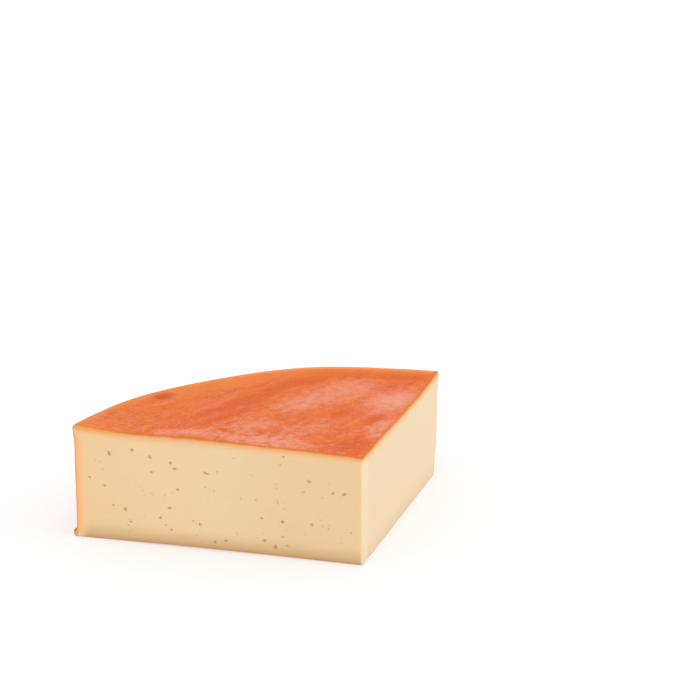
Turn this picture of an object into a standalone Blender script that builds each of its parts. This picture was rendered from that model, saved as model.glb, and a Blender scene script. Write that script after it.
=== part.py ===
"""A quarter wheel of fontina cheese, cut out of the wheel by two knife cuts that meet at its middle.

Metres, +Z up. The base lies on z = 0 and the origin is the middle of the base. The point where the two cuts
meet is at the front, towards -Y, and the round heel with its rind is at the back. Along the arc a place is
given by its turn: 0 at the left cut, 1 at the right cut.
"""

import math
import random

import bmesh
import bpy
from mathutils import Vector

# The wheel, and the quarter of it between the two cuts, which opens a little past a right angle
WHEEL_RADIUS = 0.210
APEX = Vector((0.0, -WHEEL_RADIUS / 2, 0.0))
LEFT_CUT_ANGLE = math.radians(135)
QUARTER = math.radians(90.3)

# How high the top lies, which is a little dished and uneven, as on a wheel that ripened on a shelf
CENTRE_HEIGHT = 0.0776
LEFT_RIM_HEIGHT = 0.0816
RIGHT_RIM_HEIGHT = 0.0789
RIM_SWELLS = (-0.0004, -0.0008, 0.0001, 0.0003, -0.0003)
LEFT_EDGE_SWELLS = (0.0005, 0.0006, -0.0004, 0.0003)
RIGHT_EDGE_SWELLS = (-0.0016, 0.0007, -0.0001)
CORNER_RISE = 0.0015
CORNER_REACH_ON_CUT = 0.070
CORNER_REACH_ON_RIM = 0.050

# The heel: a collar stands out at the top, the foot is undercut at the right, and spreads into a lip at the left
TOP_ROUNDING = 0.0022
LEFT_TOP_ROUNDING = 0.0034
LEFT_ROUNDING_SHARE = 0.2
FOOT_ROUNDING = 0.0025
LEFT_COLLAR_HEIGHT = 0.017
RIGHT_COLLAR_HEIGHT = 0.022
LEFT_COLLAR_STEP = 0.0010
RIGHT_COLLAR_STEP = 0.0038
UNDERCUT_DEPTH = 0.0070
UNDERCUT_HEIGHT = 0.034
LIP_TOP = 0.0064
LIP_STEP = 0.0020
LIP_REACH = 0.0024
FOOT_BULGE_REACH = 0.0014
FOOT_BULGE_SHARE = 0.3

# The marks that the straps of the ripening cloth pressed into the heel
STRAPS = 18
STRAP_DEPTH = 0.0006
STRAP_WIDTH = 0.0022
STRAP_WANDER = 0.15
STRAP_TOP_SHARE = 0.9
STRAP_FOOT_SHARE = 0.04
STRAP_FADE_SHARE = 0.08

# How finely the wheel is divided, and how far past the cuts, in turns, its section still changes
TOP_RINGS = 9
HEEL_ROWS = 11
ROUNDING_STEPS = 3
COARSE_STEP = math.radians(15)
PAST_THE_CUTS = 0.1
SHARP_ANGLE = math.radians(35)

# The knife
APEX_ROUNDING = 0.0026
APEX_STEPS = 5
KNIFE_REACH = 0.36
KNIFE_MARGIN = 0.01

# The larger eyes in the left cut: distance from the apex, height over the base, width, height of the mouth
LARGE_EYES = (
    (0.183, 0.064, 0.0025, 0.0040),
    (0.166, 0.068, 0.0030, 0.0025),
    (0.153, 0.064, 0.0030, 0.0025),
    (0.135, 0.057, 0.0035, 0.0020),
    (0.112, 0.056, 0.0045, 0.0020),
    (0.133, 0.042, 0.0025, 0.0025),
    (0.172, 0.024, 0.0025, 0.0030),
    (0.139, 0.028, 0.0035, 0.0020),
    (0.117, 0.018, 0.0025, 0.0025),
    (0.038, 0.057, 0.0035, 0.0025),
    (0.013, 0.050, 0.0035, 0.0020),
    (0.057, 0.026, 0.0030, 0.0025),
    (0.070, 0.011, 0.0030, 0.0025),
    (0.062, 0.007, 0.0030, 0.0030),
)
EYE_DEPTH = 0.0018


def clear_scene():
    for thing in list(bpy.data.objects):
        bpy.data.objects.remove(thing, do_unlink=True)


def between(start, end, share):
    return start + (end - start) * share


def ease(share):
    share = min(max(share, 0.0), 1.0)
    return share * share * (3 - 2 * share)


def swell(sizes, share):
    """Waves of one, two, three and more half turns, which are nothing at both ends."""
    return sum(size * math.sin((k + 1) * math.pi * share) for k, size in enumerate(sizes))


def rim_height(turn):
    return between(LEFT_RIM_HEIGHT, RIGHT_RIM_HEIGHT, turn) + swell(RIM_SWELLS, turn)


def corner_rise(out, turn):
    """How much the top curls up towards the corner of the rim and the left cut."""
    on_cut = ease(1 - (1 - out) * WHEEL_RADIUS / CORNER_REACH_ON_CUT)
    on_rim = ease(1 - turn * QUARTER * WHEEL_RADIUS / CORNER_REACH_ON_RIM)
    return CORNER_RISE * on_cut * on_rim


def top_height(out, turn):
    """Height of the top at a share of the radius out from the apex."""
    slope = between(CENTRE_HEIGHT, rim_height(turn), out)
    edges = between(swell(LEFT_EDGE_SWELLS, out), swell(RIGHT_EDGE_SWELLS, out), turn)
    return slope + edges + corner_rise(out, turn)


def top_rounding(turn):
    """Radius of the rim's rounded edge, which is larger by the left cut."""
    return between(LEFT_TOP_ROUNDING, TOP_ROUNDING, ease(turn / LEFT_ROUNDING_SHARE))


def strap_turns():
    """Where the straps cross the arc, spaced a little unevenly."""
    rng = random.Random(7)
    return [(k + 0.5 + rng.uniform(-STRAP_WANDER, STRAP_WANDER)) / STRAPS for k in range(STRAPS)]


def heel_columns():
    """Every turn that gets a column of points: four at each strap in the quarter, and few round the rest."""
    half = STRAP_WIDTH / (WHEEL_RADIUS * QUARTER)
    marks = strap_turns()
    columns = []
    for k, mark in enumerate(marks):
        ahead = marks[k + 1] if k + 1 < STRAPS else 1 + 0.5 / STRAPS
        columns += [mark - half, mark, mark + half, (mark + ahead) / 2]
    columns = [-0.5 / STRAPS] + columns
    rest = (4 - columns[-1] + columns[0]) * QUARTER
    steps = round(rest / COARSE_STEP)
    columns += [columns[-1] + rest / QUARTER * k / steps for k in range(1, steps)]
    return columns


def strap_depth(turn, height_share, marks):
    """Depth of the strap's mark, which fades into the collar and into the foot."""
    near = min(abs(turn - mark) for mark in marks) * WHEEL_RADIUS * QUARTER
    below_collar = ease((STRAP_TOP_SHARE - height_share) / STRAP_FADE_SHARE)
    above_foot = ease((height_share - STRAP_FOOT_SHARE) / STRAP_FADE_SHARE)
    return STRAP_DEPTH * ease(1 - near / STRAP_WIDTH) * below_collar * above_foot


def heel_inset(turn, height, rim):
    """How far the heel lies inside the wheel's radius at this height."""
    collar_height = between(LEFT_COLLAR_HEIGHT, RIGHT_COLLAR_HEIGHT, turn)
    collar = between(LEFT_COLLAR_STEP, RIGHT_COLLAR_STEP, turn) * ease((rim - height) / collar_height)
    undercut = UNDERCUT_DEPTH * turn * ease(1 - height / UNDERCUT_HEIGHT)
    lip = LIP_REACH * (1 - turn) ** 2 * ease((LIP_TOP - height) / LIP_STEP)
    bulge = FOOT_BULGE_REACH * math.sin(math.pi * turn) * ease(1 - height / (FOOT_BULGE_SHARE * rim))
    return collar + undercut - lip - bulge


def heel_heights(high):
    """Heights of the heel's rows from the top down, close together at the collar and across the foot's lip."""
    shares = [(1 - math.cos(math.pi * k / HEEL_ROWS)) / 2 for k in range(HEEL_ROWS + 1)]
    rows = [between(high, LIP_TOP, share) for share in shares]
    return rows + [LIP_TOP - LIP_STEP / 2, LIP_TOP - LIP_STEP, FOOT_ROUNDING]


def wheel_section(turn, marks):
    """Points of the section at this turn as radius and height, from near the axis over the rim to the base."""
    inside = min(max(turn, -PAST_THE_CUTS), 1 + PAST_THE_CUTS)
    rim = rim_height(inside)
    rounding = top_rounding(inside)
    flat_radius = WHEEL_RADIUS - rounding
    section = []
    for k in range(1, TOP_RINGS + 1):
        radius = flat_radius * math.sin(0.5 * math.pi * k / TOP_RINGS)
        section.append((radius, top_height(radius / WHEEL_RADIUS, inside)))
    edge_height = section[-1][1]
    for k in range(1, ROUNDING_STEPS):
        lean = 0.5 * math.pi * k / ROUNDING_STEPS
        radius = flat_radius + rounding * math.sin(lean)
        section.append((radius, edge_height - rounding * (1 - math.cos(lean))))
    for height in heel_heights(edge_height - rounding):
        inset = heel_inset(inside, height, edge_height)
        depth = strap_depth(turn, height / edge_height, marks)
        section.append((WHEEL_RADIUS - inset - depth, height))
    foot_radius = section[-1][0] - FOOT_ROUNDING
    for k in range(1, ROUNDING_STEPS + 1):
        lean = 0.5 * math.pi * k / ROUNDING_STEPS
        radius = foot_radius + FOOT_ROUNDING * math.cos(lean)
        section.append((radius, FOOT_ROUNDING * (1 - math.sin(lean))))
    return section


def build_wheel():
    """The whole wheel, fine in the quarter that is kept and coarse round the rest."""
    shape = bmesh.new()
    marks = strap_turns()
    columns = heel_columns()
    top_middle = shape.verts.new(APEX + Vector((0, 0, CENTRE_HEIGHT)))
    base_middle = shape.verts.new(APEX)
    sections = []
    for turn in columns:
        angle = LEFT_CUT_ANGLE - QUARTER * turn
        way = Vector((math.cos(angle), math.sin(angle), 0))
        points = wheel_section(turn, marks)
        sections.append([shape.verts.new(APEX + way * r + Vector((0, 0, z))) for r, z in points])
    for this, after in zip(sections, sections[1:] + sections[:1]):
        shape.faces.new((top_middle, after[0], this[0]))
        for a, b, c, d in zip(this, after, after[1:], this[1:]):
            shape.faces.new((a, b, c, d))
        shape.faces.new((base_middle, this[-1], after[-1]))
    bmesh.ops.recalc_face_normals(shape, faces=shape.faces)
    mesh = bpy.data.meshes.new("cheese_wedge")
    shape.to_mesh(mesh)
    shape.free()
    wheel = bpy.data.objects.new("cheese_wedge", mesh)
    bpy.context.collection.objects.link(wheel)
    return wheel


def build_knife():
    """A tall block in plan like the quarter, with its point softly rounded, that keeps only the wedge."""
    shape = bmesh.new()
    middle = LEFT_CUT_ANGLE - QUARTER / 2
    inward = Vector((math.cos(middle), math.sin(middle), 0))
    centre = APEX + inward * APEX_ROUNDING / math.sin(QUARTER / 2)
    outline = []
    for k in range(APEX_STEPS + 1):
        angle = LEFT_CUT_ANGLE + math.pi / 2 + (math.pi - QUARTER) * k / APEX_STEPS
        outline.append(centre + APEX_ROUNDING * Vector((math.cos(angle), math.sin(angle), 0)))
    for angle in (LEFT_CUT_ANGLE - QUARTER, LEFT_CUT_ANGLE):
        outline.append(APEX + KNIFE_REACH * Vector((math.cos(angle), math.sin(angle), 0)))
    low = Vector((0, 0, -KNIFE_MARGIN))
    floor = shape.faces.new([shape.verts.new(point + low) for point in outline])
    lifted = bmesh.ops.extrude_face_region(shape, geom=[floor])["geom"]
    rise = Vector((0, 0, LEFT_RIM_HEIGHT + 2 * KNIFE_MARGIN))
    bmesh.ops.translate(shape, vec=rise, verts=[v for v in lifted if isinstance(v, bmesh.types.BMVert)])
    bmesh.ops.recalc_face_normals(shape, faces=shape.faces)
    mesh = bpy.data.meshes.new("knife")
    shape.to_mesh(mesh)
    shape.free()
    knife = bpy.data.objects.new("knife", mesh)
    bpy.context.collection.objects.link(knife)
    return knife


def build_eyes():
    """Flat round bubbles whose middles lie in the left cut, so that each leaves an open pit."""
    shape = bmesh.new()
    along = Vector((math.cos(LEFT_CUT_ANGLE), math.sin(LEFT_CUT_ANGLE), 0))
    outward = Vector((-along.y, along.x, 0))
    for distance, height, width, mouth in LARGE_EYES:
        bubble = bmesh.ops.create_icosphere(shape, subdivisions=1, radius=1.0)["verts"]
        middle = APEX + along * distance + Vector((0, 0, height))
        for vert in bubble:
            x, y, z = vert.co
            vert.co = middle + along * x * width / 2 + outward * y * EYE_DEPTH + Vector((0, 0, z * mouth / 2))
    bmesh.ops.recalc_face_normals(shape, faces=shape.faces)
    mesh = bpy.data.meshes.new("eyes")
    shape.to_mesh(mesh)
    shape.free()
    eyes = bpy.data.objects.new("eyes", mesh)
    bpy.context.collection.objects.link(eyes)
    return eyes


def apply_boolean(body, tool, operation):
    modifier = body.modifiers.new(tool.name, "BOOLEAN")
    modifier.object = tool
    modifier.operation = operation
    modifier.solver = "EXACT"
    bpy.context.view_layer.objects.active = body
    with bpy.context.temp_override(object=body, active_object=body):
        bpy.ops.object.modifier_apply(modifier=modifier.name)
    bpy.data.objects.remove(tool, do_unlink=True)


def cheese_material():
    material = bpy.data.materials.new("cheese")
    material.use_nodes = True
    shader = material.node_tree.nodes["Principled BSDF"]
    shader.inputs["Base Color"].default_value = (0.84, 0.61, 0.35, 1)
    shader.inputs["Roughness"].default_value = 0.55
    shader.inputs["Metallic"].default_value = 0.0
    return material


clear_scene()
wedge = build_wheel()
apply_boolean(wedge, build_knife(), "INTERSECT")
apply_boolean(wedge, build_eyes(), "DIFFERENCE")
wedge.data.materials.clear()
wedge.data.materials.append(cheese_material())
wedge.data.shade_smooth()
wedge.data.set_sharp_from_angle(angle=SHARP_ANGLE)
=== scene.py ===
"""A quarter wheel of fontina cheese on a pale floor: its paste, rind and eyes, the light and the camera."""

import math
import random

import bmesh
import bpy
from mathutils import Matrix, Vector, noise


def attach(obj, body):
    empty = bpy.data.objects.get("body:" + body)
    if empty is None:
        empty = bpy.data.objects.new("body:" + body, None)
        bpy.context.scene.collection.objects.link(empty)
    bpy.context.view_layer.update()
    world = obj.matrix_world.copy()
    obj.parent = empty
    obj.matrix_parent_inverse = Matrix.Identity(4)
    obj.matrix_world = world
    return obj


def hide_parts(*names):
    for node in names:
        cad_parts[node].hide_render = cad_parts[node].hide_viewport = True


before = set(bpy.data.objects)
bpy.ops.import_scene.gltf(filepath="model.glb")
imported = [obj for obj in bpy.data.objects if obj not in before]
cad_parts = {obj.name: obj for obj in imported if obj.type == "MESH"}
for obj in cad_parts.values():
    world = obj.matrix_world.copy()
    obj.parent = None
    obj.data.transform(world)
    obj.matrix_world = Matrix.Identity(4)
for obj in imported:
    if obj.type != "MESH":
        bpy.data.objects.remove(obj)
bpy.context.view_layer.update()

# The wheel that the wedge was cut from, in metres, with the same sizes as the solid
WHEEL_RADIUS = 0.210
APEX = Vector((0.0, -WHEEL_RADIUS / 2, 0.0))
LEFT_CUT_ANGLE = math.radians(135)
QUARTER = math.radians(90.3)
CENTRE_HEIGHT = 0.0776
LEFT_RIM_HEIGHT = 0.0816
RIGHT_RIM_HEIGHT = 0.0789
RIM_SWELLS = (-0.0004, -0.0008, 0.0001, 0.0003, -0.0003)
LEFT_EDGE_SWELLS = (0.0005, 0.0006, -0.0004, 0.0003)
RIGHT_EDGE_SWELLS = (-0.0016, 0.0007, -0.0001)
CORNER_RISE = 0.0015
CORNER_REACH_ON_CUT = 0.070
CORNER_REACH_ON_RIM = 0.050

# The heel, from the collar under the rim to the undercut foot, which spreads into a lip at the left
TOP_ROUNDING = 0.0022
LEFT_TOP_ROUNDING = 0.0034
LEFT_ROUNDING_SHARE = 0.2
FOOT_ROUNDING = 0.0025
LEFT_COLLAR_HEIGHT = 0.017
RIGHT_COLLAR_HEIGHT = 0.022
LEFT_COLLAR_STEP = 0.0010
RIGHT_COLLAR_STEP = 0.0038
UNDERCUT_DEPTH = 0.0070
UNDERCUT_HEIGHT = 0.034
LIP_TOP = 0.0064
LIP_STEP = 0.0020
LIP_REACH = 0.0024
FOOT_BULGE_REACH = 0.0014
FOOT_BULGE_SHARE = 0.3

# How far the base's edge bends up along the middle of the left cut, and how wide the bent strip is
FOOT_LIFT = 0.0008
FOOT_LIFT_REACH = 0.006

# The marks of the straps of the ripening cloth, and how far each sways sideways on its way down
STRAPS = 18
STRAP_WANDER = 0.15
STRAP_WIDTH = 0.0006
STRAP_DEPTH = 0.0007
STRAP_SWAY = 0.0016
STRAP_UNDER_RIM = 0.006
STRAP_SEED = 7
HEEL_SKIN = 0.015

# How finely the wedge is divided, and how much closer its rows lie at the rim, top and foot
GRID = 116
ROWS = 46
CROWD_AT_RIM = 0.6
CROWD_AT_ENDS = 0.6

# The knife leaves a soft point and crisp but not razor-sharp edges
APEX_ROUNDING = 0.0026
EDGE_ROUNDING = 0.0003
RIND_SKIN = 0.0010
CUT_FLATNESS = 0.97
LOSS_ALLOWED = 0.01

# The larger eyes in the left cut, in mm: distance from the apex, height over the base, and the mouth's
# width and height
LARGE_EYES = (
    (183, 64, 2.5, 4.0), (166, 68, 3.0, 2.5), (153, 64, 3.0, 2.5), (135, 57, 3.5, 2.0), (112, 56, 4.5, 2.0),
    (133, 42, 2.5, 2.5), (172, 24, 2.5, 3.0), (139, 28, 3.5, 2.0), (117, 18, 2.5, 2.5), (38, 57, 3.5, 2.5),
    (13, 50, 3.5, 2.0), (57, 26, 3.0, 2.5), (70, 11, 3.0, 2.5), (62, 7, 3.0, 3.0),
)
# The smaller ones that still stand out, which the photograph shows in loose rows: distance and height, in mm
SMALL_EYES = (
    (138, 61), (152, 53), (198, 45), (187, 40), (181, 26), (168, 15), (146, 20), (142, 15), (138, 12),
    (122, 20), (106, 6), (98, 8), (90, 14), (87, 40), (76, 40), (72, 27), (57, 15), (54, 9),
    (61, 50), (56, 73), (42, 49), (21, 50), (36, 26), (24, 24), (8, 23),
)
SMALL_EYE_WIDTH = (1.8, 2.8)
# Groups of faint eyes: middle's distance and height, reach along the cut and upwards, in mm, and how many
FAINT_GROUPS = (
    (188, 58, 9, 11, 5), (150, 41, 14, 4, 7), (170, 16, 16, 5, 5), (123, 10, 12, 5, 4), (105, 41, 9, 6, 6),
    (82, 60, 22, 9, 5), (60, 39, 7, 5, 5), (62, 14, 24, 7, 6), (18, 26, 13, 22, 5),
)
FAINT_EYE_WIDTH = (1.1, 1.9)
STRAY_EYES = 12
EYE_DEPTH_SHARE = 0.40
FAINT_DEPTH_SHARE = 0.26
EYE_WOBBLE = 0.12
EYE_SEED = 21

# How far under the top, the heel and the base the paste's colour changes, in mm
LEFT_TOP_REACH = 8.0
RIGHT_TOP_REACH = 9.0
HEEL_REACH = 12.0
BASE_REACH = 16.0

# Marks on the top seen from above: middle's x and y, half length and half width in mm, and lean in degrees.
# A bloom mark also has its strength.
WIPE_LEAN = 27
BLOOM_MARKS = (
    (62, 34, 34, 15, 20, 0.7), (84, -2, 28, 14, 35, 1.0), (46, -52, 20, 7, 45, 0.8),
    (18, 22, 22, 12, 20, 0.6), (-42, -46, 28, 12, -45, 0.75), (-74, -10, 16, 8, -45, 0.6),
    (-92, 2, 12, 7, -45, 0.6), (-4, -32, 20, 10, 25, 0.4), (-34, -8, 18, 12, 30, 0.4),
)
DEEP_MARKS = (
    (-10, 48, 70, 9, 23), (60, 72, 32, 10, 15), (-40, 20, 34, 5, 22), (118, 46, 22, 9, -30),
    (34, -14, 24, 5, 25), (54, -32, 22, 6, 42), (4, -78, 22, 13, 0), (98, 26, 18, 6, 20),
)
GOLD_MARKS = ((-118, 44, 26, 16, 45), (-22, 90, 30, 12, 15))
DARK_MARK = (-60, 83, 8, 6, 27)

# The pale studio: its floor, its even light and one soft lamp
FLOOR_SIZE = 60
FLOOR_MIDDLE = (0, 20, -0.0002)
FLOOR_GLOW = 0.5
STUDIO_LIGHT = 1.05
LAMP_PLACE = (1.5, -0.9, 1.2)
LAMP_TARGET = (0, 0, 0.05)
LAMP_SIZE = 0.9
LAMP_WATTS = 1.5

# Where the camera stood, and how it was turned, in the photograph of 700 by 700 pixels
CAMERA_FROM_APEX = Vector((-0.7549, -1.3349, 0.5961))
CAMERA_AZIMUTH = -29.169
CAMERA_PITCH = 16.109
FOCAL_PIXELS = 2400
PHOTO_PIXELS = 700
SENSOR_WIDTH = 36.0


def between(start, end, share):
    return start + (end - start) * share


def ease(share):
    share = min(max(share, 0.0), 1.0)
    return share * share * (3 - 2 * share)


def swell(sizes, share):
    """Waves of one, two, three and more half turns, which are nothing at both ends."""
    return sum(size * math.sin((k + 1) * math.pi * share) for k, size in enumerate(sizes))


def rim_height(turn):
    return between(LEFT_RIM_HEIGHT, RIGHT_RIM_HEIGHT, turn) + swell(RIM_SWELLS, turn)


def corner_rise(out, turn):
    """How much the top curls up towards the corner of the rim and the left cut."""
    on_cut = ease(1 - (1 - out) * WHEEL_RADIUS / CORNER_REACH_ON_CUT)
    on_rim = ease(1 - turn * QUARTER * WHEEL_RADIUS / CORNER_REACH_ON_RIM)
    return CORNER_RISE * on_cut * on_rim


def top_height(out, turn):
    """Height of the top at a share of the radius out from the apex and a turn along the arc."""
    slope = between(CENTRE_HEIGHT, rim_height(turn), out)
    edges = between(swell(LEFT_EDGE_SWELLS, out), swell(RIGHT_EDGE_SWELLS, out), turn)
    return slope + edges + corner_rise(out, turn)


def top_rounding(turn):
    """Radius of the rim's rounded edge, which is larger by the left cut."""
    return between(LEFT_TOP_ROUNDING, TOP_ROUNDING, ease(turn / LEFT_ROUNDING_SHARE))


def heel_inset(turn, height):
    """How far the heel lies inside the wheel's radius at this height."""
    rim = top_height(1, turn)
    collar_height = between(LEFT_COLLAR_HEIGHT, RIGHT_COLLAR_HEIGHT, turn)
    collar = between(LEFT_COLLAR_STEP, RIGHT_COLLAR_STEP, turn) * ease((rim - height) / collar_height)
    undercut = UNDERCUT_DEPTH * turn * ease(1 - height / UNDERCUT_HEIGHT)
    lip = LIP_REACH * (1 - turn) ** 2 * ease((LIP_TOP - height) / LIP_STEP)
    bulge = FOOT_BULGE_REACH * math.sin(math.pi * turn) * ease(1 - height / (FOOT_BULGE_SHARE * rim))
    return collar + undercut - lip - bulge


def foot_lift(place):
    """How far the base's edge bends up beside the left cut, most halfway along it."""
    aside = radius_of(place) * math.sin(turn_of(place) * QUARTER)
    along = min(radius_of(place) / WHEEL_RADIUS, 1.0)
    return FOOT_LIFT * math.sin(math.pi * along) * ease(1 - aside / FOOT_LIFT_REACH)


def strap_turns():
    """Where the straps cross the arc, each on the nearest column of the heel."""
    rng = random.Random(STRAP_SEED)
    turns = [(k + 0.5 + rng.uniform(-STRAP_WANDER, STRAP_WANDER)) / STRAPS for k in range(STRAPS)]
    return [round(turn * 2 * GRID) / (2 * GRID) for turn in turns]


def turn_of(place):
    """Turn along the arc of a place, 0 at the left cut and 1 at the right cut."""
    return (LEFT_CUT_ANGLE - math.atan2(place.y - APEX.y, place.x - APEX.x)) / QUARTER


def radius_of(place):
    return math.hypot(place.x - APEX.x, place.y - APEX.y)


def top_relief(x, y):
    """Shallow hollows and puckers of the rind on top."""
    broad = noise.noise(Vector((x * 38, y * 38, 3.1)))
    fine = noise.noise(Vector((x * 150, y * 150, 8.7)))
    return 0.00022 * broad + 0.00009 * fine


def heel_relief(turn, height):
    """Uneven places of the heel, drawn out a little along the arc."""
    along = turn * QUARTER * WHEEL_RADIUS
    broad = noise.noise(Vector((along * 30, height * 45, 1.4)))
    fine = noise.noise(Vector((along * 130, height * 170, 5.2)))
    return 0.00035 * broad + 0.00012 * fine


def round_over(inside, down, size):
    """Carries a place near a square edge onto a rounded one, by its distances from the edge's two faces."""
    if max(inside, down) >= size:
        return inside, down
    least = min(inside, down)
    left = size - least
    lean = math.pi / 4 * (1 + (down - inside) / left)
    return least + left * (1 - math.sin(lean)), least + left * (1 - math.cos(lean))


def wedge_place(a, b, up):
    """Place in the wedge of a point of the unit block: a runs along the left cut, b along the right one."""
    out = max(a, b)
    turn = 0.5 if out == 0 else 0.5 * b / a if a >= b else 1 - 0.5 * a / b
    share = out + CROWD_AT_RIM * math.sin(math.pi * out) / math.pi
    radius = WHEEL_RADIUS * share
    angle = LEFT_CUT_ANGLE - QUARTER * turn
    way = Vector((math.cos(angle), math.sin(angle), 0))
    spot = APEX + way * radius
    top = top_height(share, turn) + top_relief(spot.x, spot.y)
    height = top * (up - CROWD_AT_ENDS * math.sin(2 * math.pi * up) / (2 * math.pi))
    inside = WHEEL_RADIUS - radius
    inside, down = round_over(inside, top - height, top_rounding(turn))
    inside, height = round_over(inside, top - down, FOOT_ROUNDING)
    pull = (1 - inside / WHEEL_RADIUS) ** 2
    radius = WHEEL_RADIUS - inside - (heel_inset(turn, height) - heel_relief(turn, height)) * pull
    place = APEX + way * radius
    return place + Vector((0, 0, height + foot_lift(place) * (1 - height / top)))


def object_mode():
    if bpy.context.object and bpy.context.object.mode != "OBJECT":
        bpy.ops.object.mode_set(mode="OBJECT")


def choose_only(piece):
    object_mode()
    bpy.ops.object.select_all(action="DESELECT")
    piece.select_set(True)
    bpy.context.view_layer.objects.active = piece


def choose_edges(piece, wanted):
    """Selects in edit mode just the edges that wanted() says yes to."""
    choose_only(piece)
    bpy.ops.object.mode_set(mode="EDIT")
    bpy.ops.mesh.select_mode(type="EDGE")
    bpy.ops.mesh.select_all(action="DESELECT")
    shape = bmesh.from_edit_mesh(piece.data)
    for edge in shape.edges:
        edge.select_set(wanted(edge.verts[0].co, edge.verts[1].co))
    bmesh.update_edit_mesh(piece.data)


def raise_block():
    """A unit block of fine squares, open to be shaped: a flat grid, drawn up and divided into rows."""
    bpy.ops.object.select_all(action="DESELECT")
    bpy.ops.mesh.primitive_grid_add(x_subdivisions=GRID, y_subdivisions=GRID, size=1, location=(0.5, 0.5, 0))
    block = bpy.context.object
    block.name = "cheese"
    block.data.name = "cheese"
    bpy.ops.object.transform_apply(location=True, rotation=True, scale=True)
    bpy.ops.object.mode_set(mode="EDIT")
    bpy.ops.mesh.select_all(action="SELECT")
    bpy.ops.mesh.extrude_region_move(TRANSFORM_OT_translate={"value": (0, 0, 1)})
    choose_edges(block, lambda p, q: abs(p.z - q.z) > 0.5)
    bpy.ops.mesh.subdivide(number_cuts=ROWS - 1)
    bpy.ops.mesh.select_all(action="SELECT")
    bpy.ops.mesh.normals_make_consistent(inside=False)
    object_mode()
    return block


def bend_to_wedge(block):
    for vertex in block.data.vertices:
        a, b, up = vertex.co
        vertex.co = wedge_place(a, b, up)
    choose_only(block)
    bpy.ops.object.mode_set(mode="EDIT")
    bpy.ops.mesh.select_all(action="SELECT")
    bpy.ops.mesh.normals_make_consistent(inside=False)
    object_mode()


def strap_distance(turn, turns):
    """Distance along the arc from the nearest strap's mark."""
    return min(abs(turn - mark) for mark in turns) * QUARTER * WHEEL_RADIUS


def strap_strength(turn, height):
    """How plainly a strap's mark shows, from 0 to 1, which changes from strap to strap and along each."""
    pressed = ease(0.55 + 1.3 * noise.noise(Vector((turn * 60, height * 26, 2.2))))
    high = ease((top_height(1, turn) - STRAP_UNDER_RIM - height) / STRAP_UNDER_RIM)
    return pressed * high * ease((height - FOOT_ROUNDING) / 0.004)


def strap_sway(turn, height):
    """How far in turns the marks have swayed along the arc at this height, which is nothing at both cuts."""
    sway = STRAP_SWAY * noise.noise(Vector((turn * 9, height * 30, 6.6))) / (QUARTER * WHEEL_RADIUS)
    return sway * math.sin(math.pi * turn)


def press_straps(wedge):
    """Each strap's mark is a column of the heel, split in three by a bevel, with its middle pushed in."""
    turns = strap_turns()

    def on_strap(p, q):
        if min(radius_of(p), radius_of(q)) < WHEEL_RADIUS - HEEL_SKIN or abs(p.z - q.z) < 0.0001:
            return False
        if max(p.z, q.z) > rim_height(turn_of(p)) - STRAP_UNDER_RIM or min(p.z, q.z) < FOOT_ROUNDING:
            return False
        return all(min(abs(turn_of(point) - turn) for turn in turns) < 0.0002 for point in (p, q))

    choose_edges(wedge, on_strap)
    bpy.ops.mesh.bevel(offset=STRAP_WIDTH, segments=2, profile=0.5, affect="EDGES", clamp_overlap=True)
    object_mode()
    for vertex in wedge.data.vertices:
        place = vertex.co
        within = radius_of(place) - (WHEEL_RADIUS - HEEL_SKIN)
        if within < 0:
            continue
        turn = turn_of(place)
        near = strap_distance(turn, turns)
        depth = STRAP_DEPTH * ease(1 - near / (1.6 * STRAP_WIDTH)) * strap_strength(turn, place.z)
        radius = radius_of(place) - depth
        angle = LEFT_CUT_ANGLE - QUARTER * (turn + strap_sway(turn, place.z) * ease(3 * within / HEEL_SKIN))
        vertex.co = APEX + Vector((math.cos(angle) * radius, math.sin(angle) * radius, place.z))


def soften_edges(wedge):
    """Rounds the point of the wedge, then breaks every square edge that the knife left."""
    choose_edges(wedge, lambda p, q: max(radius_of(p), radius_of(q)) < 0.0001)
    bpy.ops.mesh.bevel(offset=APEX_ROUNDING, segments=5, profile=0.5, affect="EDGES")
    bpy.ops.mesh.select_all(action="DESELECT")
    bpy.ops.mesh.edges_select_sharp(sharpness=math.radians(50))
    bpy.ops.mesh.bevel(offset=EDGE_ROUNDING, segments=2, profile=0.5, affect="EDGES")
    object_mode()


def bubble(distance, height, width, mouth, rng):
    """One flattened, slightly crooked bubble with its middle in the left cut. Sizes are in metres."""
    along = Vector((math.cos(LEFT_CUT_ANGLE), math.sin(LEFT_CUT_ANGLE), 0))
    middle = APEX + along * distance + Vector((0, 0, height))
    depth = between(FAINT_DEPTH_SHARE, EYE_DEPTH_SHARE, ease((width - 0.0012) / 0.0013)) * (width + mouth) / 2
    bpy.ops.mesh.primitive_ico_sphere_add(
        subdivisions=2, radius=1, location=middle, scale=(width / 2, depth, mouth / 2),
        rotation=(0, rng.uniform(-0.3, 0.3), LEFT_CUT_ANGLE))
    made = bpy.context.object
    bpy.ops.object.transform_apply(location=True, rotation=True, scale=True)
    wobble = EYE_WOBBLE * min(width, mouth)
    seed = Vector((distance * 997, height * 991, 0))
    for vertex in made.data.vertices:
        vertex.co += wobble * noise.noise_vector((vertex.co - middle) / width * 1.5 + seed)
    return made


def scatter_eyes(rng):
    """Places of the faint eyes: loose groups of them, and a few strays anywhere on the cut."""
    places = []
    for distance, height, along, up, count in FAINT_GROUPS:
        for _ in range(count):
            places.append((distance + along * rng.uniform(-1, 1), height + up * rng.uniform(-1, 1)))
    for _ in range(STRAY_EYES):
        distance = 1000 * WHEEL_RADIUS * rng.uniform(0.05, 0.95)
        height = 1000 * CENTRE_HEIGHT * rng.uniform(0.06, 0.9)
        places.append((distance, height))
    return places


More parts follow.
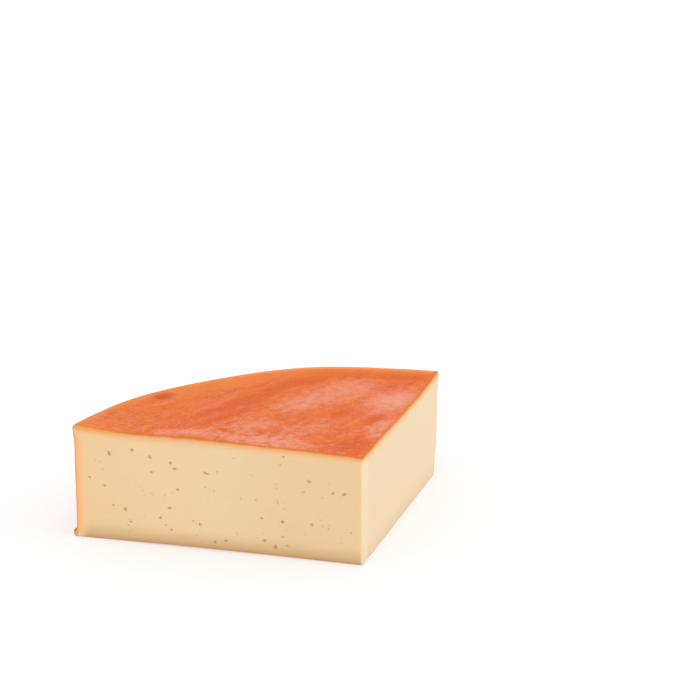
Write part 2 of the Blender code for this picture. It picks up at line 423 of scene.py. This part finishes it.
def all_eyes(rng):
    """Every eye as distance from the apex, height over the base, width and height of the mouth, in mm."""
    eyes = list(LARGE_EYES)
    for places, widths in ((SMALL_EYES, SMALL_EYE_WIDTH), (scatter_eyes(rng), FAINT_EYE_WIDTH)):
        for distance, height in places:
            width = rng.uniform(*widths)
            eyes.append((distance, height, width, width * rng.uniform(0.55, 0.95)))
    return eyes


def open_eyes(wedge):
    """Cuts every eye out of the left cut with one joined cutter."""
    rng = random.Random(EYE_SEED)
    # Left unseeded, noise_vector would change from run to run
    noise.seed_set(EYE_SEED)
    bubbles = [bubble(*(size / 1000 for size in eye), rng) for eye in all_eyes(rng)]
    bpy.ops.object.select_all(action="DESELECT")
    for made in bubbles:
        made.select_set(True)
    bpy.context.view_layer.objects.active = bubbles[0]
    bpy.ops.object.join()
    cutter = bpy.context.object
    choose_only(wedge)
    cut = wedge.modifiers.new("eyes", "BOOLEAN")
    cut.operation = "DIFFERENCE"
    cut.solver = "EXACT"
    cut.use_self = True
    cut.object = cutter
    bpy.ops.object.modifier_apply(modifier=cut.name)
    bpy.data.objects.remove(cutter, do_unlink=True)


def rind_distances(place):
    """How deep a place lies under the top, inside the heel and over the base."""
    turn = min(max(turn_of(place), 0.0), 1.0)
    radius = radius_of(place)
    top = top_height(min(radius / WHEEL_RADIUS, 1.0), turn) + top_relief(place.x, place.y)
    heel = WHEEL_RADIUS - heel_inset(turn, place.z) + heel_relief(turn, place.z)
    return top - place.z, heel - radius, place.z - foot_lift(place)


def strap_mark(place, turns):
    """Distance of a place from the nearest strap's mark, and how plainly that mark shows there."""
    turn = turn_of(place)
    turn -= strap_sway(turn, place.z)
    return strap_distance(turn, turns), strap_strength(turn, place.z), 0.0


def keep_numbers(mesh, name, numbers):
    """Stores three numbers for each vertex. Making the next layer would move an unfilled one."""
    layer = mesh.attributes.new(name, "FLOAT_VECTOR", "POINT")
    layer.data.foreach_set("vector", [number for three in numbers for number in three])


def part_rind_from_paste(wedge, paste, rind):
    """Paste is what lies flat on a cut or deeper than the rind's skin, as the eyes do, and the rest is rind.

    Each vertex keeps its distances from the rind's three surfaces, and the nearest strap's mark.
    """
    wedge.data.materials.clear()
    wedge.data.materials.append(paste)
    wedge.data.materials.append(rind)
    right_cut_angle = LEFT_CUT_ANGLE - QUARTER
    left_normal = Vector((-math.sin(LEFT_CUT_ANGLE), math.cos(LEFT_CUT_ANGLE), 0))
    right_normal = Vector((math.sin(right_cut_angle), -math.cos(right_cut_angle), 0))
    for face in wedge.data.polygons:
        on_cut = max(face.normal.dot(left_normal), face.normal.dot(right_normal)) > CUT_FLATNESS
        within = min(rind_distances(face.center)) > RIND_SKIN
        face.material_index = 0 if on_cut or within else 1
    turns = strap_turns()
    keep_numbers(wedge.data, "rind_distance", [rind_distances(vertex.co) for vertex in wedge.data.vertices])
    keep_numbers(wedge.data, "strap_mark", [strap_mark(vertex.co, turns) for vertex in wedge.data.vertices])


class Wire:
    """A socket of a material that can be used in plain sums."""

    def __init__(self, finish, socket):
        self.finish = finish
        self.socket = socket

    def __add__(self, other):
        return self.finish.maths("ADD", self, other)

    def __sub__(self, other):
        return self.finish.maths("SUBTRACT", self, other)

    def __mul__(self, other):
        return self.finish.maths("MULTIPLY", self, other)

    def __truediv__(self, other):
        return self.finish.maths("DIVIDE", self, other)

    def __rsub__(self, other):
        return self.finish.maths("SUBTRACT", other, self)

    __radd__ = __add__
    __rmul__ = __mul__


class Finish:
    """One material with its nodes. Sums of sockets are written as expressions on wires."""

    def __init__(self, name):
        self.material = bpy.data.materials.new(name)
        self.material.use_nodes = True
        self.tree = self.material.node_tree
        self.shader = self.tree.nodes["Principled BSDF"]

    def join(self, value, socket):
        if isinstance(value, Wire):
            self.tree.links.new(value.socket, socket)
        else:
            socket.default_value = value

    def give(self, **values):
        """Sets the shader's sockets by their names in small letters, with underscores for the spaces."""
        names = {socket.name.lower().replace(" ", "_"): socket for socket in self.shader.inputs}
        for name, value in values.items():
            self.join(value, names[name])

    def node(self, kind, settings=None, sockets=None, output=0):
        made = self.tree.nodes.new("ShaderNode" + kind)
        for name, value in (settings or {}).items():
            if name == "stops":
                self.set_stops(made.color_ramp, value)
            else:
                setattr(made, name, value)
        for name, value in (sockets or {}).items():
            self.join(value, made.inputs[name])
        return Wire(self, made.outputs[output])

    @staticmethod
    def set_stops(ramp, stops):
        while len(ramp.elements) < len(stops):
            ramp.elements.new(1.0)
        for element, (position, colour) in zip(ramp.elements, stops):
            element.position = position
            element.color = colour

    def maths(self, operation, first, second):
        return self.node("Math", {"operation": operation}, {0: first, 1: second})

    def rise(self, value, low, high):
        """0 below low, 1 above high and an S between. With low above high it falls instead."""
        sockets = {"Value": value, "From Min": low, "From Max": high, "To Min": 0.0, "To Max": 1.0}
        if low > high:
            sockets.update({"From Min": high, "From Max": low, "To Min": 1.0, "To Max": 0.0})
        return self.node("MapRange", {"interpolation_type": "SMOOTHSTEP"}, sockets)

    def mix(self, share, first, second):
        settings = {"data_type": "RGBA", "clamp_factor": True}
        return self.node("Mix", settings, {0: share, 6: first, 7: second}, output=2)

    def ramp(self, value, reach, stops):
        """Colours along a value from 0 to its reach. A stop is a value and a colour as seen on a screen."""
        shares = [(at / reach, paint(*colour)) for at, colour in stops]
        return self.node("ValToRGB", {"stops": shares}, {"Fac": value / reach})

    def place(self):
        return self.node("TexCoord", output=3)

    def turned(self, vector, angle=0.0, size=(1, 1, 1), middle=(0, 0, 0)):
        """The place seen from a middle, turned about the upright, and counted in this size along each way."""
        sockets = {"Vector": vector, "Location": middle, "Rotation": (0, 0, angle), "Scale": size}
        return self.node("Mapping", {"vector_type": "TEXTURE"}, sockets)

    def cloud(self, vector, scale, detail=2.0, rough=0.5, distortion=0.0):
        """Noise between about 0.2 and 0.8, softer than its scale."""
        sockets = {"Vector": vector, "Scale": scale, "Detail": detail}
        sockets.update({"Roughness": rough, "Distortion": distortion})
        return self.node("TexNoise", None, sockets)

    def axes(self, vector):
        made = self.tree.nodes.new("ShaderNodeSeparateXYZ")
        self.join(vector, made.inputs[0])
        return tuple(Wire(self, socket) for socket in made.outputs)

    def kept_numbers(self, name):
        """The three numbers that each vertex keeps under this name."""
        return self.axes(self.node("Attribute", {"attribute_name": name}, output=1))

    def rind_distances(self):
        """How deep a point lies under the top, inside the heel and over the base, in mm."""
        return tuple(distance * 1000 for distance in self.kept_numbers("rind_distance"))

    def wedge_distances(self, place):
        """How far a point lies from the wheel's axis, and behind the left and the right cut, in mm."""
        x, y, _ = self.axes(place)
        back = y + WHEEL_RADIUS / 2
        radius = self.maths("SQRT", x * x + back * back, 0.0)
        left, right = LEFT_CUT_ANGLE, LEFT_CUT_ANGLE - QUARTER
        into_left = x * math.sin(left) - back * math.cos(left)
        into_right = back * math.cos(right) - x * math.sin(right)
        return radius * 1000, into_left * 1000, into_right * 1000

    def bump(self, height, distance, under=None):
        sockets = {"Height": height, "Distance": distance, "Strength": 1.0}
        if under is not None:
            sockets["Normal"] = under
        return self.node("Bump", None, sockets)

    def patch(self, place, mark, ragged, soft):
        """1 in an oval mark seen from above and 0 outside it. The ragged value moves its soft edge."""
        x, y, length, width, lean = mark
        size = (length / 1000, width / 1000, 1000)
        seen = self.turned(place, math.radians(lean), size, (x / 1000, y / 1000, 0))
        far = self.node("VectorMath", {"operation": "LENGTH"}, {0: seen}, output=1)
        return self.rise(far + ragged, 1.0 + soft, 1.0 - soft)


def paint(red, green, blue):
    """Colour of a material from 8-bit screen values."""
    def linear(value):
        value /= 255
        return value / 12.92 if value <= 0.04045 else ((value + 0.055) / 1.055) ** 2.4
    return (linear(red), linear(green), linear(blue), 1.0)


def paste_finish():
    """The cut cheese: cream, warmer towards the rind, with the rind's own line along its edges; the right cut
    is painted lighter, with a painted highlight on the point and painted shade towards the floor, over the
    lip and in the eyes.
    """
    finish = Finish("paste")
    place = finish.place()
    top, heel, base = finish.rind_distances()
    radius, into_left, into_right = finish.wedge_distances(place)
    waver = (finish.cloud(place, 90, 3) - 0.5) * 1.2
    outwards = finish.ramp(radius, 1000 * WHEEL_RADIUS, (
        (0, (233, 200, 154)), (52.5, (232, 200, 155)), (105, (234, 206, 164)), (147, (236, 204, 158)),
        (210, (237, 201, 151))))
    warm = paint(237, 201, 151)
    body = finish.mix(finish.rise(finish.cloud(place, 16, 2), 0.45, 0.7) * 0.6, outwards, warm)
    on_right = finish.rise(into_left - into_right, -2.2, 1.0)
    # Painted light: the right cut is painted lighter and paler than the left, for the light that grazes it
    # and the sheen it catches.
    body = finish.mix(on_right, body, paint(236, 209, 168))
    grain = finish.cloud(place, 700, 3)
    body = finish.mix(finish.rise(grain, 0.55, 0.75) * 0.10, body, paint(222, 184, 132))
    top_mm = top + waver
    under_left_top = finish.ramp(top_mm, LEFT_TOP_REACH, (
        (0.0, (210, 112, 46)), (0.6, (217, 126, 58)), (1.1, (231, 149, 82)), (1.9, (235, 171, 108)),
        (3.2, (236, 186, 130)), (4.8, (236, 195, 145)), (6.4, (236, 200, 152)), (8.0, (236, 203, 157))))
    # The right cut's copy of the line under the top is lighter too: painted light on that cut.
    under_right_top = finish.ramp(top_mm, RIGHT_TOP_REACH, (
        (0.0, (212, 110, 6)), (0.9, (220, 130, 18)), (1.6, (231, 156, 66)), (2.4, (241, 178, 100)),
        (3.2, (245, 190, 121)), (4.4, (246, 196, 134)), (6.0, (245, 200, 144)), (9.0, (236, 209, 168))))
    heel_mm = heel + waver * 0.6
    in_heel = finish.ramp(heel_mm, HEEL_REACH, (
        (0.0, (228, 146, 88)), (0.8, (238, 170, 110)), (1.8, (244, 184, 124)), (3.2, (243, 190, 134)),
        (5.0, (241, 195, 142)), (8.0, (239, 199, 148)), (12.0, (239, 204, 156))))
    base_mm = base + waver * 0.4
    # The base rind's own brown line, and above it painted shade that darkens the paste towards the floor.
    base_line_and_shade = finish.ramp(base_mm, BASE_REACH, (
        (0.0, (180, 138, 94)), (0.7, (193, 150, 107)), (1.6, (202, 162, 117)), (4.0, (211, 174, 123)),
        (8.0, (217, 184, 134)), (16.0, (232, 200, 152))))
    colour = finish.mix(finish.rise(base_mm, BASE_REACH, 1.0) * (1 - 0.75 * on_right), body, base_line_and_shade)
    colour = finish.mix(finish.rise(heel_mm, HEEL_REACH, 3.0) * (1 - 0.95 * on_right), colour, in_heel)
    under_top = finish.mix(on_right, under_left_top, under_right_top)
    colour = finish.mix(finish.rise(top_mm, RIGHT_TOP_REACH, 4.0), colour, under_top)
    in_corner = finish.rise(radius, 166, 206) * finish.rise(top_mm, 6.5, 1.0)
    colour = finish.mix(in_corner * 0.8, colour, paint(240, 152, 70))
    in_lip = finish.rise(base, 6.2, 4.4) * finish.rise(heel, 4.6, 1.6) * (1 - on_right)
    colour = finish.mix(in_lip * 0.85, colour, paint(216, 146, 84))
    # The corner over the lip: the rind's red-brown, darkened by painted shade.
    lip_corner_shade = finish.rise(base, 3.2, 4.4) * finish.rise(base, 6.4, 5.2) * finish.rise(heel, 2.4, 0.6)
    colour = finish.mix(lip_corner_shade * (1 - on_right) * 0.9, colour, paint(160, 84, 44))
    # Painted highlight on the rounded point and the right cut beside it.
    apex_highlight = finish.rise(radius, 17.0, 7.0) * on_right * finish.rise(top_mm, 2.0, 5.0)
    colour = finish.mix(apex_highlight * 0.7, colour, paint(246, 218, 171))
    # Painted shade inside the eyes: the deeper a point lies behind the cut, the darker.
    tinge = finish.rise(finish.cloud(place, 60, 2), 0.4, 0.6)
    eye_shade_colour = finish.mix(tinge, paint(208, 164, 112), paint(202, 174, 118))
    into_cut = finish.maths("MINIMUM", into_left, into_right)
    eye_shade_share = finish.rise(into_cut, 0.1, 0.8) * finish.rise(radius, 2.0, 4.0)
    colour = finish.mix(eye_shade_share * 0.6, colour, eye_shade_colour)
    knife = finish.cloud(finish.turned(place, math.radians(45), (0.05, 0.05, 0.0016)), 1.0, 2)
    relief = finish.bump(grain, 0.00003, finish.bump(knife, 0.00004))
    finish.give(base_color=colour, normal=relief, roughness=0.42, specular_ior_level=0.35)
    finish.give(subsurface_weight=0.15, subsurface_radius=(1.0, 0.6, 0.3), subsurface_scale=0.002)
    return finish.material


def heel_side(finish):
    """1 on the heel itself, 0 on the top away from the rim."""
    _, into_heel, _ = finish.rind_distances()
    return finish.rise(into_heel, 2.5, 1.2)


def heel_colour(finish, place, drift):
    """Red, in upright drifts, with painted shade in the straps' soft creases and a few groups of pale scuffs.
    """
    upright = finish.cloud(finish.turned(place, 0.0, (0.016, 0.016, 0.14)), 1.0, 3, 0.55)
    flaked = finish.cloud(finish.turned(place, 0.0, (0.009, 0.009, 0.018)), 1.0, 5, 0.7)
    scuffs = finish.rise(flaked, 0.56, 0.68) * finish.rise(finish.cloud(place, 17, 1), 0.54, 0.64)
    strap, shown, _ = finish.kept_numbers("strap_mark")
    strap_mm = strap * 1000
    colour = finish.mix(finish.rise(drift, 0.38, 0.62), paint(184, 50, 42), paint(200, 72, 50))
    colour = finish.mix(finish.rise(upright, 0.50, 0.68) * 0.45, colour, paint(210, 86, 56))
    colour = finish.mix(finish.rise(upright, 0.46, 0.32) * 0.4, colour, paint(170, 40, 38))
    colour = finish.mix(scuffs * 0.6, colour, paint(236, 152, 128))
    colour = finish.mix(finish.rise(strap_mm, 4.5, 1.0) * shown * 0.35, colour, paint(216, 94, 56))
    # Painted shade in the straps' grooves, darker where a mark is pressed deeper.
    return finish.mix(finish.rise(strap_mm, 0.9, 0.1) * (0.12 + 0.6 * shown), colour, paint(150, 42, 32))


def rind_finish():
    """The washed rind: orange, wiped with bloom and deeper smears on top, and redder on the heel, with
    painted shade under the rim and in the straps, and a painted highlight along the rim.
    """
    finish = Finish("rind")
    place = finish.place()
    under_top, _, base = finish.rind_distances()
    radius, into_left, into_right = finish.wedge_distances(place)
    drift = finish.cloud(place, 26, 3, 0.6, 0.6)
    wiped = finish.cloud(finish.turned(place, math.radians(WIPE_LEAN), (0.030, 0.008, 0.02)), 1.0, 4, 0.65)
    mottle = finish.cloud(place, 150, 4, 0.7)
    fleck = finish.cloud(place, 480, 3, 0.65)
    ragged = (mottle - 0.5) * 2.2
    deep = paint(220, 92, 24)
    bloom = paint(237, 150, 118)
    powder = paint(237, 162, 138)
    gold = paint(231, 124, 52)
    colour = finish.mix(finish.rise(drift, 0.40, 0.62), paint(229, 112, 42), paint(229, 112, 58))
    colour = finish.mix(finish.rise(wiped, 0.50, 0.68) * 0.8, colour, deep)
    colour = finish.mix(finish.rise(wiped, 0.46, 0.30) * 0.45, colour, bloom)
    on_top = finish.rise(under_top, 5.0, 1.0)
    far_off = finish.rise(into_left, 30, 110)
    edges = ragged * (1 - 0.5 * far_off)
    for mark in GOLD_MARKS:
        colour = finish.mix(finish.patch(place, mark, edges, 0.8) * on_top * 0.5, colour, gold)
    for mark in DEEP_MARKS:
        colour = finish.mix(finish.patch(place, mark, edges, 0.6) * on_top * 0.8, colour, deep)
    powdery = 0.7 + (0.3 - 0.2 * far_off) * finish.rise(mottle, 0.58, 0.36)
    for *mark, strength in BLOOM_MARKS:
        share = finish.patch(place, mark, edges, 0.75) * on_top * powdery * strength
        colour = finish.mix(share, colour, powder)
    along_wipes = finish.turned(place, math.radians(WIPE_LEAN), (0.020, 0.010, 0.012))
    puckers = finish.cloud(along_wipes, 1.0, 4, 0.6, 0.8)
    wrinkles = finish.rise(finish.maths("ABSOLUTE", puckers - 0.5, 0.0), 0.022, 0.004)
    wrinkles = wrinkles * finish.rise(mottle, 0.42, 0.58) * on_top
    colour = finish.mix(wrinkles * 0.22, colour, paint(194, 86, 38))
    heel = finish.rise(under_top + ragged * 0.6, 1.8, 6.0) * finish.rise(base, 0.1, 0.9)
    rough_places = (1 - 0.75 * heel) * (1 - 0.5 * far_off * on_top)
    colour = finish.mix(finish.rise(mottle, 0.50, 0.70) * 0.6 * rough_places, colour, deep)
    colour = finish.mix(finish.rise(mottle, 0.48, 0.30) * 0.45 * rough_places, colour, bloom)
    colour = finish.mix(heel * 0.9, colour, heel_colour(finish, place, drift))
    colour = finish.mix(finish.rise(fleck, 0.54, 0.74) * 0.55 * rough_places, colour, bloom)
    colour = finish.mix(finish.rise(fleck, 0.45, 0.28) * 0.5 * rough_places, colour, paint(194, 74, 28))
    # Painted shade in a fold of the heel just under the rim.
    rim_fold_shade = finish.rise(under_top + ragged, 2.2, 3.4) * finish.rise(under_top + ragged, 5.6, 3.8)
    rim_fold_shade = rim_fold_shade * heel_side(finish) * finish.rise(drift, 0.36, 0.56)
    colour = finish.mix(rim_fold_shade * 0.6, colour, paint(158, 48, 32))
    sideways = into_left - into_right
    rim = finish.rise(radius + ragged * 3, 176, 200) * finish.rise(under_top, 4.0, 1.5)
    rim = rim * (0.1 + 0.5 * finish.rise(sideways, -130, -60))
    colour = finish.mix(rim, colour, paint(235, 132, 58))
    dark = finish.patch(place, DARK_MARK, ragged * 0.6, 0.7) * on_top
    colour = finish.mix(dark * 0.75, colour, paint(198, 70, 28))
    smear = finish.rise(radius + ragged, 180, 188) * finish.rise(radius + ragged, 201, 194)
    colour = finish.mix(smear * finish.rise(sideways, 60, 120) * on_top * 0.5, colour, deep)
    # Along the rim's rounded edge: gold towards the left, and a painted peach highlight towards the right.
    rim_highlight_and_gold_share = finish.rise(radius + ragged, 201, 207) * finish.rise(under_top + ragged * 0.5, 4.6, 1.2)
    rim_highlight_and_gold = finish.mix(finish.rise(sideways, -60, 40), paint(232, 142, 58), paint(248, 152, 88))
    colour = finish.mix(rim_highlight_and_gold_share * 0.85, colour, rim_highlight_and_gold)
    left_end = finish.rise(into_left, 9.0, 1.0) * finish.rise(radius, 150, 205) * on_top
    colour = finish.mix(left_end * 0.6, colour, paint(234, 144, 50))
    at_left_cut = finish.rise(into_left, 1.2, 0.3)
    at_right_cut = finish.rise(into_right, 3.0, 0.6)
    at_cut = finish.maths("MAXIMUM", at_left_cut, at_right_cut)
    colour = finish.mix(at_cut * 0.7, colour, paint(226, 116, 34))
    # The base rind at the cuts, painted brown: its own line, darkened by painted shade.
    foot_line_and_shade = finish.rise(base, 1.4, 0.4) * at_cut
    colour = finish.mix(foot_line_and_shade * 0.9, colour, paint(198, 154, 108))
    relief = finish.bump(fleck, 0.0002, finish.bump(mottle - wrinkles * 0.4, 0.0004))
    finish.give(base_color=colour, normal=relief, roughness=0.5, specular_ior_level=0.05)
    return finish.material


def measure(piece):
    """Volume of a piece, and whether its surface is closed."""
    shape = bmesh.new()
    shape.from_mesh(piece.data)
    volume = shape.calc_volume()
    closed = all(edge.is_manifold for edge in shape.edges)
    shape.free()
    return volume, closed


def build_cheese():
    wedge = raise_block()
    bend_to_wedge(wedge)
    press_straps(wedge)
    soften_edges(wedge)
    whole, _ = measure(wedge)
    open_eyes(wedge)
    part_rind_from_paste(wedge, paste_finish(), rind_finish())
    left, closed = measure(wedge)
    if not closed or left < whole * (1 - LOSS_ALLOWED):
        raise RuntimeError("The wedge has a gap or has lost its shape")
    choose_only(wedge)
    bpy.ops.object.shade_smooth_by_angle(angle=math.radians(40))
    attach(wedge, "root")
    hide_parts("cheese_wedge")


def lay_floor():
    bpy.ops.object.select_all(action="DESELECT")
    bpy.ops.mesh.primitive_plane_add(size=FLOOR_SIZE, location=FLOOR_MIDDLE)
    floor = bpy.context.object
    floor.name = "floor"
    finish = Finish("floor")
    finish.give(base_color=paint(188, 188, 188), roughness=0.9, specular_ior_level=0.1)
    finish.give(emission_color=(1, 1, 1, 1), emission_strength=FLOOR_GLOW)
    floor.data.materials.append(finish.material)


def light_studio():
    """Even white light from all around, and one soft lamp at the right."""
    world = bpy.data.worlds.new("studio")
    world.use_nodes = True
    around = world.node_tree.nodes["Background"]
    around.inputs["Color"].default_value = (1, 1, 1, 1)
    around.inputs["Strength"].default_value = STUDIO_LIGHT
    bpy.context.scene.world = world
    light = bpy.data.lights.new("lamp", "AREA")
    light.shape = "DISK"
    light.size = LAMP_SIZE
    light.energy = LAMP_WATTS
    lamp = bpy.data.objects.new("lamp", light)
    lamp.location = LAMP_PLACE
    lamp.rotation_euler = (Vector(LAMP_TARGET) - lamp.location).to_track_quat("-Z", "Y").to_euler()
    bpy.context.collection.objects.link(lamp)


def stand_camera():
    camera = bpy.data.cameras.new("camera")
    camera.sensor_width = SENSOR_WIDTH
    camera.lens = FOCAL_PIXELS * SENSOR_WIDTH / PHOTO_PIXELS
    camera.clip_end = 50
    stand = bpy.data.objects.new("camera", camera)
    stand.location = APEX + CAMERA_FROM_APEX
    stand.rotation_euler = (math.radians(90 - CAMERA_PITCH), 0, math.radians(CAMERA_AZIMUTH))
    bpy.context.collection.objects.link(stand)
    bpy.context.scene.camera = stand


stand_camera()
light_studio()
lay_floor()
build_cheese()
bpy.context.scene.view_settings.view_transform = "Standard"
